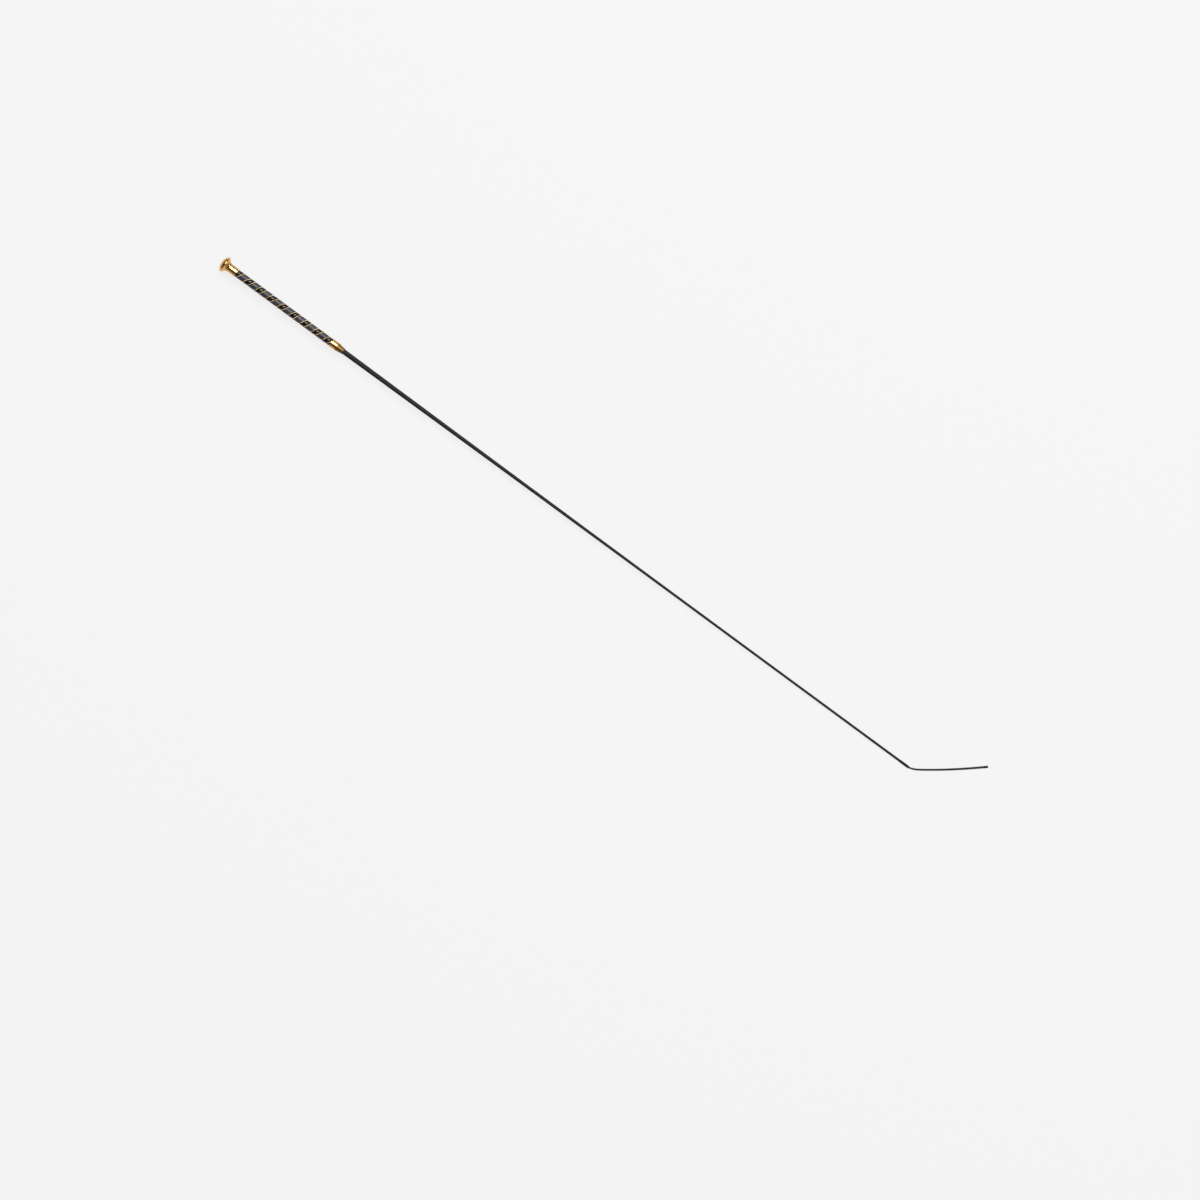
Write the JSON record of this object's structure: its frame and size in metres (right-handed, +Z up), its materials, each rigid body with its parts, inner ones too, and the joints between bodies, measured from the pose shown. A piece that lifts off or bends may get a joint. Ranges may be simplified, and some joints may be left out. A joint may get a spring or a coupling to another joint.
{
  "type": "dressage whip",
  "caption": "Dressage whip: long tapered braided stock with a spirally wound grip, a flared gilt cap, a gilt ferrule and a short lash that swings at its tip.",
  "frame": {"origin": "on the surface that the whip lies on, under the middle of the stock from cap to tip", "axes": "+X along the stock from the cap to the tip, +Z up, so the lash turns aside towards +Y"},
  "size_m": [1.1809, 0.0736, 0.022],
  "materials": {
    "gilt_brass": "polished gilt brass, slightly worn on edges",
    "gold_thread": "twisted metallised gold thread",
    "grey_leather": "matte slate-grey leather with fine grain",
    "patent_strip": "black patent strip, high gloss",
    "lacquered_braid": "black braided nylon under thin lacquer, satin",
    "black_thread": "waxed black thread",
    "lash_cord": "round braided cord, warm black, waxed",
    "glass_fibre": "pultruded glass-fibre rod",
    "sleeve_plastic": "black moulded plastic",
    "cloth_tape": "black adhesive cloth tape",
    "plug_wood": "turned beech",
    "plain_steel": "bright plain steel"
  },
  "bodies": {
    "stock": {"butt_cap": "gilt_brass", "cap_top_plate": "gilt_brass", "ferrule_collar": "gilt_brass", "ferrule_nose": "gilt_brass", "gold_cord_rear": "gold_thread", "gold_cord_front": "gold_thread", "leather_band": "grey_leather", "gloss_strip": "patent_strip", "braided_jacket": "lacquered_braid", "tip_whipping": "black_thread", "core_rod": "glass_fibre", "grip_sleeve": "sleeve_plastic", "ferrule_liner": "sleeve_plastic", "cap_bush": "sleeve_plastic", "tip_bush": "sleeve_plastic", "grip_underlay": "cloth_tape", "rear_thread_binding": "black_thread", "front_thread_binding": "black_thread", "end_plug": "plug_wood", "cap_screw": "plain_steel", "balance_weight": "plain_steel"},
    "lash_root": {"lash_knot": "lash_cord"},
    "lash": {"lash": "lash_cord", "lash_end_whipping": "black_thread"}
  },
  "joints": [
    {"name": "lash_swing", "type": "hinge", "parent": "stock", "child": "lash_root", "pos_m": [0.54952, 0, 0.00178], "axis": [0, 0, 1], "range_deg": [-105, 55], "stiffness_Nm_per_rad": 0.004},
    {"name": "lash_lift", "type": "hinge", "parent": "lash_root", "child": "lash", "pos_m": [0.54952, 0, 0.00178], "axis": [0.4338, -0.901, 0], "range_deg": [0, 80], "stiffness_Nm_per_rad": 0.004}
  ]
}
